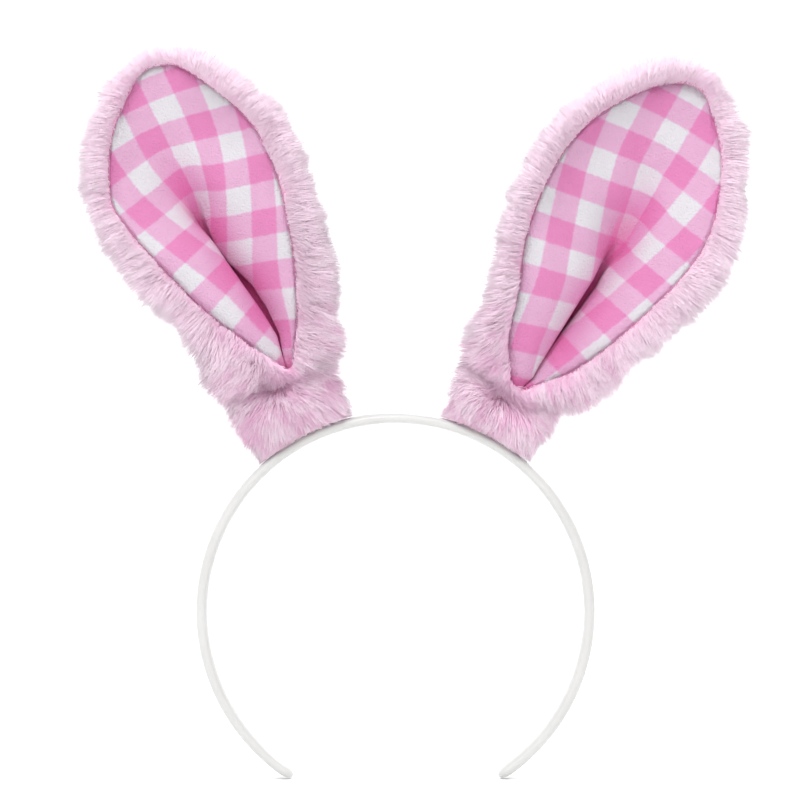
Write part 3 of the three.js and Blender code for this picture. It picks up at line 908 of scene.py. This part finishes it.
def lining_edges(ear):
    """Left and right edges of the lining, by height. They lie a hem's width outside the seam."""
    offset = ear.seam_line - CENTRE
    outline = CENTRE + offset * (1 + HEM / np.linalg.norm(offset, axis=1, keepdims=True))
    first, last = sorted((outline[:, 1].argmin(), outline[:, 1].argmax()))
    one, two = outline[first:last + 1], np.vstack([outline[last:], outline[:first + 1]])
    left, right = (one, two) if one[:, 0].mean() < two[:, 0].mean() else (two, one)
    return left[np.argsort(left[:, 1])], right[np.argsort(right[:, 1])]


def joined(*stretches):
    """One row from stretches that share their end columns."""
    return np.concatenate([stretches[0]] + [stretch[1:] for stretch in stretches[1:]])


def hidden_length(u, y):
    """Length of cloth along a stretch, up to each of its columns."""
    return np.concatenate([[0], np.cumsum(np.hypot(np.diff(u), np.diff(y)))])


class LiningRow:
    """One row of the lining, at height w. Its four stretches are the left panel, the way into the
    pleat, the way out of it and the right panel."""

    def __init__(self, ear, w, left, right):
        self.ear = ear
        self.w = w
        self.low, self.high = left[0, 1], left[-1, 1]
        self.left = np.interp(w, left[:, 1], left[:, 0])
        self.right = np.interp(w, right[:, 1], right[:, 0])
        self.width = self.right - self.left
        slit, gap = np.asarray(ear.slit, float), np.asarray(ear.gap, float)
        lip = np.interp(w, slit[:, 1], slit[:, 0])
        self.slit = np.clip(lip, self.left + 0.3 * self.width, self.right - 0.35 * self.width)
        self.gap = min(np.interp(w, gap[:, 0], gap[:, 1]), 0.2 * self.width)
        self.closed = 1 - smoothstep(w, *ear.fold_ends)      # 1 where the cloth is pleated, 0 above
        self.rim = ear.rim(w)
        self.fold_u, self.fold_y = self.pleated()
        open_u, open_y = self.opened()
        self.u = joined(*self.fold_u) * self.closed + open_u * (1 - self.closed)
        self.y = joined(*self.fold_y) * self.closed + open_y * (1 - self.closed)

    def pleated(self):
        """Across and depth of the four stretches where the cloth is folded over."""
        ear, w, rim = self.ear, self.w, self.rim
        climb = smoothstep(w, self.low, 60)
        lip, wall = (rim + low + (high - low) * climb for low, high in (ear.lip_depth, ear.wall_depth))
        bottom = np.maximum(wall, lip) + 5.5 * smoothstep(w, self.low, self.low + 12)
        bulge = 1.7 * np.sin(np.pi * PANEL) * (1 - 0.4 * climb) * min(1, self.width / 25)
        inward = self.slit + 0.9 * np.sin(np.pi * TURN) - 1.3 * TURN     # the folded edge turns under
        start = self.slit + self.gap
        across = [
            self.left + (self.slit - self.left) * PANEL,
            inward,
            inward[-1] + (start - inward[-1]) * (1 - (1 - TURN) ** 3),
            start + (self.right - start) * PANEL,
        ]
        depth = [
            rim + (lip - rim) * PANEL ** 1.6 - bulge,
            lip + (bottom - lip) * TURN ** 1.6,
            bottom + (wall - bottom) * TURN ** 3,
            wall + (rim - wall) * PANEL ** 0.9 - bulge[::-1],
        ]
        return across, depth

    def opened(self):
        """Across and depth of the row above the pleat: a broad bowl with a valley along it."""
        left, right, slit = self.left, self.right, self.slit
        half = 0.5 * VALLEY["half_width"] * min(1, self.width / 30)
        across = joined(
            left + (slit - half - left) * PANEL, slit - half + half * TURN,
            slit + half * TURN, slit + half + (right - slit - half) * PANEL,
        )
        broad = np.clip(1 - np.abs((across - left) / self.width * 2 - 1) ** 2.2, 0, 1)
        bowl = VALLEY["bowl"] * (1 - smoothstep(self.w, 88, self.high)) * broad
        sharp = np.exp(-((across - slit) / VALLEY["half_width"]) ** 2) * (1 - smoothstep(self.w, 58, 100))
        return across, self.rim + (bowl + VALLEY["depth"] * sharp) * np.minimum(1, broad * 4)

    def pleat_shade(self):
        """Painted shade from the pleat: how far down the fold each point is, with more beside the lips and
        at the pinched bottom, for the deep pink darkening there.
        """
        w, low = self.w, self.low
        deepness = joined(0 * PANEL, TURN, 1 - TURN, 0 * PANEL)
        near_lip = joined(PANEL ** 40 * 0.35, 0 * TURN, 0 * TURN, (1 - PANEL) ** 14 * 0.35)
        shut = smoothstep(w, low, low + 8) * (1 - 0.4 * smoothstep(w, 42, 56)) * (1 - smoothstep(w, 62, 82))
        tip = 0.55 * (1 - smoothstep(w, low + 2, low + 9))
        return (smoothstep(deepness, 0, 0.45) + near_lip) * shut + tip

    def valley_shade(self):
        """Painted shade in the valley: how near each point is to the bottom of the valley."""
        beside = np.exp(-((self.u - self.slit - 2.0) / 6.0) ** 2)
        return beside * smoothstep(self.w, self.low + 6, self.low + 26) * (1 - smoothstep(self.w, 68, 96))

    def gingham(self):
        """Gingham coordinates up to the pleat's bottom, and from it on. Cloth hidden in the pleat
        goes on from each lip. Above the pleat nothing is hidden, and the two sides merge."""
        ear, u, closed = self.ear, self.u, self.closed
        left_lip, right_lip = u[LEFT_LIP], u[RIGHT_LIP]
        hidden_in = hidden_length(self.fold_u[1], self.fold_y[1])
        hidden_out = hidden_length(self.fold_u[2][::-1], self.fold_y[2][::-1])[::-1]
        flat_in = left_lip + hidden_in * closed + (u[LEFT_LIP:BOTTOM + 1] - left_lip) * (1 - closed)
        flat_out = right_lip - hidden_out * closed + (u[BOTTOM:RIGHT_LIP + 1] - right_lip) * (1 - closed)
        from_left = np.concatenate([u[:LEFT_LIP], flat_in])
        from_right = np.concatenate([flat_out, u[RIGHT_LIP + 1:]])
        merging = 2.0 + 8.0 * smoothstep(self.w, 45, 80)
        share = smoothstep((u - self.slit) / merging - 0.3, -1, 1)[:, None]
        eased = self.cloth_at(u, 1) * (1 - share) + self.cloth_at(u, -1) * share
        return (self.cloth_at(from_left, 1) * closed + eased[:BOTTOM + 1] * (1 - closed),
                self.cloth_at(from_right, -1) * closed + eased[BOTTOM:] * (1 - closed))

    def cloth_at(self, u, side):
        return cone_map(self.ear, u, np.full(len(u), self.w), side)


def lining_rows(ear):
    """The lining in rows across the ear: its local points, its gingham coordinates on each side of the
    pleat's bottom, and the painted shade that each point takes from how far down the pleat and the valley it
    is."""
    left, right = lining_edges(ear)
    spacing = (1 - np.cos(np.pi * np.linspace(0.02, 0.98, LINING_ROWS))) / 2
    heights = left[0, 1] + (left[-1, 1] - left[0, 1]) * spacing
    rows = [LiningRow(ear, w, left, right) for w in heights]
    points = np.asarray([np.stack([row.u, row.y, np.full(len(row.u), row.w)], -1) for row in rows])

    part = ear.part_of(points[..., 0], points[..., 2])
    inside = np.maximum(0, (1 - part) * 30)                     # millimetres, roughly, from the seam
    points[..., 1] += 1.8 * np.exp(-inside / 0.8)               # the hem turns under
    pucker = ripple(ear.seed + 40, wavelengths=(2.0, 5.0))
    swell = ripple(ear.seed + 41, wavelengths=(14.0, 40.0))
    points[..., 1] += 0.35 * pucker(points) * np.exp(-inside / 2.0) + 0.30 * swell(points)
    return dict(
        points=points, cloth=[row.gingham() for row in rows],
        pleat_shade=np.asarray([row.pleat_shade() for row in rows]), valley_shade=np.asarray([row.valley_shade() for row in rows]),
    )


def make_lining(ear, material):
    """The lining as a thick sheet, with its Cloth map and its two shading attributes."""
    points, cloth = ear.lining["points"], ear.lining["cloth"]
    rows, count = points.shape[:2]
    faces, uvs = [], []
    for r in range(rows - 1):
        for c in range(count - 1):
            corners = [(r, c), (r, c + 1), (r + 1, c + 1), (r + 1, c)]
            faces.append([a * count + b for a, b in corners])
            for a, b in corners:
                uvs.append(cloth[a][0][b] if c < BOTTOM else cloth[a][1][b - BOTTOM])
    piece = mesh_piece(f"{ear.name}_gingham_lining", ear.world(points).reshape(-1, 3), faces, material)
    layer = piece.data.uv_layers.new(name="Cloth")
    layer.data.foreach_set("uv", np.asarray(uvs, np.float32).ravel())
    for key in ("pleat_shade", "valley_shade"):
        shade = piece.data.attributes.new(key, "FLOAT", "POINT")
        shade.data.foreach_set("value", np.clip(ear.lining[key], 0, 1).ravel().astype(np.float32))
    solid = piece.modifiers.new("thickness", "SOLIDIFY")
    solid.thickness = 0.8 * MM
    solid.offset = -1
    apply_modifiers(piece)
    outward(piece)
    piece.data.shade_smooth()
    return piece


# ---- small pieces -------------------------------------------------------------------------
def make_wadding(ear, material, count=72):
    """A thin pad behind the lining. Its two sides are given from the hollow's floor."""
    front, back = 0.9, 2.0
    angle = np.linspace(0, 2 * np.pi, count, endpoint=False)
    seam = ear.seam_radius(angle)
    lumps = ripple(ear.seed + 60, wavelengths=(6.0, 20.0))

    def ring(part, side):
        u, w = round_centre(seam * part, angle)
        points = np.stack([u, ear.floor(u, w, np.full(count, part)) + side, w], -1)
        points[:, 1] += 0.12 * lumps(points)
        return ear.world(points)

    parts = (0.2, 0.4, 0.6, 0.76, 0.88, 0.94)
    rings = [ring(part, front) for part in parts] + [ring(part, back) for part in reversed(parts)]
    u, w = CENTRE
    floor = float(ear.floor(u, w, 0.0))
    poles = [ear.world([u, floor + side, w]) for side in (front, back)]
    return ring_piece(f"{ear.name}_wadding", rings, *poles, material)


def capsule_rings(start, end, radius, sides=6):
    """A short thick stitch between two points, for ring_faces: rings and two poles."""
    axis = unit(end - start)
    helper = np.array([0, 1.0, 0]) if abs(axis[1]) < 0.9 else np.array([1.0, 0, 0])
    side = unit(np.cross(axis, helper))
    other = np.cross(axis, side)
    turn = np.linspace(0, 2 * np.pi, sides, endpoint=False)
    circle = np.outer(np.cos(turn), side) + np.outer(np.sin(turn), other)
    narrow, shoulder, cap = 0.6 * radius, 0.8 * radius, 0.4 * radius
    rings = [start + circle * narrow, start + axis * shoulder + circle * radius,
             end - axis * shoulder + circle * radius, end + circle * narrow]
    return rings, start - axis * cap, end + axis * cap


def stitches_piece(name, segments, radius, material):
    """Separate stitches as one mesh."""
    points, faces = [], []
    for start, end in segments:
        rings, first, last = capsule_rings(np.asarray(start), np.asarray(end), radius)
        base = len(points)
        points += [p for ring in rings for p in ring] + [first, last]
        faces += [[base + i for i in face] for face in ring_faces(len(rings), len(rings[0]))]
    piece = mesh_piece(name, points, faces, material)
    outward(piece)
    return piece


def make_seam_thread(ear, material):
    """Slanting stitches round the lining, just inside the seam."""
    stitch, space, slant, inset, proud = 1.9, 0.5, 0.10, 0.15, 0.7
    line = np.vstack([ear.seam_line, ear.seam_line[:1]])
    length = np.concatenate([[0], np.cumsum(np.linalg.norm(np.diff(line, axis=0), axis=1))])
    segments = []
    for k in range(int(length[-1] // (stitch + space))):
        first = k * (stitch + space)
        ends = []
        for along, shift in ((first, slant), (first + stitch, -slant)):
            place = np.array([np.interp(along, length, line[:, i]) for i in range(2)])
            u, w = place + unit(CENTRE - place) * (inset + shift)
            ends.append(ear.world([u, float(ear.rim(w)) + proud, w]))
        segments.append(ends)
    return stitches_piece(f"{ear.name}_seam_stitches", segments, 0.17, material)


def make_tack(ear, skin, material):
    """Three crossed stitches in the bottom of the dimple."""
    u, w = ear.tack
    local = ear.local(mesh_points(skin))
    near = np.hypot(local[:, 0] - u, local[:, 2] - w) < 2
    depth = local[near, 1].min() - 0.1
    stitches = [
        ((-2.0, 0, -0.8), (2.0, 0, 0.5)),
        ((-1.8, -0.2, 0.7), (1.9, -0.2, -0.6)),
        ((-1.4, -0.3, 0), (1.6, -0.3, 0.1)),
    ]
    segments = [[ear.world(np.add((u, depth, w), end)) for end in pair] for pair in stitches]
    return stitches_piece(f"{ear.name}_tack_thread", segments, 0.22, material)


def make_glue(ear, material):
    """A flattened bead along the top of the hoop, squeezed out a little past the foot."""
    rng = np.random.default_rng(ear.seed + 80)
    steps, sides, half_length, half_width, half_height = 40, 14, 12.0, 4.2, 0.55
    reach = half_length / OUTER
    base = math.radians(FOOT_ANGLE * ear.side)
    turn = np.linspace(0, 2 * np.pi, sides, endpoint=False)
    blobs = np.interp(np.linspace(0, 1, steps), np.linspace(0, 1, 11), rng.uniform(0.6, 1.0, 11))
    rings = []
    for k, angle in enumerate(np.linspace(-reach, reach, steps)):
        close = math.sqrt(max(0.02, 1 - (2 * k / (steps - 1) - 1) ** 4))
        y = np.cos(turn) * half_width * close * blobs[k]
        height = OUTER + 0.42 + np.sin(turn) * half_height * close - 0.035 * y ** 2
        rings.append(on_hoop(height, y, base + angle))
    return ring_piece(f"{ear.name}_glue_bead", rings, rings[0].mean(0), rings[-1].mean(0), material)


def on_hoop(radius, y, angle):
    """Points at a radius from the hoop's centre and an angle from its crown."""
    return np.stack([radius * math.sin(angle), y, radius * math.cos(angle) - BAND["inner"]], -1)


def band_section():
    """Places round the hoop's section: (depth, rise), a D with a faint parting line each side."""
    section = []
    for turn in np.linspace(0, 2 * np.pi, 40, endpoint=False):
        c, s = math.cos(turn), math.sin(turn)
        y = math.copysign(abs(c) ** 0.75, c) * BAND["half_width"]
        rise = math.copysign(abs(s) ** (0.62 if s < 0 else 0.95), s)
        if abs(s) < 0.08:
            y += math.copysign(0.07, c)
        section.append((y, rise * BAND["thick"] / 2))
    return np.array(section)


def make_band(material):
    """The moulded hoop, with rounded tips."""
    half = math.radians(BAND["sweep"])
    middle = BAND["inner"] + BAND["thick"] / 2
    tip = BAND["tip"] / middle
    section = band_section()
    quarter = np.linspace(0.06, 1, 9) * np.pi / 2
    rounding = tip * (1 - np.cos(quarter))
    straight = np.linspace(-half + tip, half - tip, 241)[1:-1]
    places = np.concatenate([-half + rounding, straight, (half - rounding)[::-1]])
    scales = np.concatenate([np.sin(quarter), np.ones(len(straight)), np.sin(quarter)[::-1]])
    rings = [on_hoop(middle + section[:, 1] * scale, section[:, 0] * scale, angle)
             for angle, scale in zip(places, scales)]
    poles = [on_hoop(middle, 0, angle) for angle in (-half, half)]
    return ring_piece("hoop", rings, *poles, material)


# ---- assembly -----------------------------------------------------------------------------
def build_ear(facts, looks):
    """One ear's pieces. The plush stays where it is built, on no body; the rest rides on the ear or the
    hoop.
    """
    ear = Ear(facts)
    name = ear.name
    body = f"{name}_ear"

    skin = make_skin(ear, looks["backing"])
    pile = grow_pile(ear, skin, looks["plush"])
    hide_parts(f"{name}_ear_cover", f"{name}_ear_foot")
    for piece in [skin, *pile]:
        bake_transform(piece)

    lining = make_lining(ear, looks["gingham"])
    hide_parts(f"{name}_ear_lining")
    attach(lining, body)

    wadding = make_wadding(ear, looks["wadding"])
    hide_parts(f"{name}_ear_padding")
    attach(wadding, body)

    thread = make_seam_thread(ear, looks["thread"])
    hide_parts(f"{name}_seam_thread")
    tack = make_tack(ear, skin, looks["thread"])
    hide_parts(f"{name}_tack_stitch")
    for piece in (thread, tack):
        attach(piece, body)

    glue = make_glue(ear, looks["glue"])
    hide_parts(f"{name}_glue_pad")
    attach(glue, "root")


camera_and_light()
LOOKS = dict(
    plush=plush_material(), backing=backing_material(), gingham=gingham_material(),
    wadding=wadding_material(), thread=thread_material(), glue=glue_material(),
)
hoop = make_band(band_material())
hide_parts("headband")
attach(hoop, "root")
for ear_facts in EARS:
    build_ear(ear_facts, LOOKS)
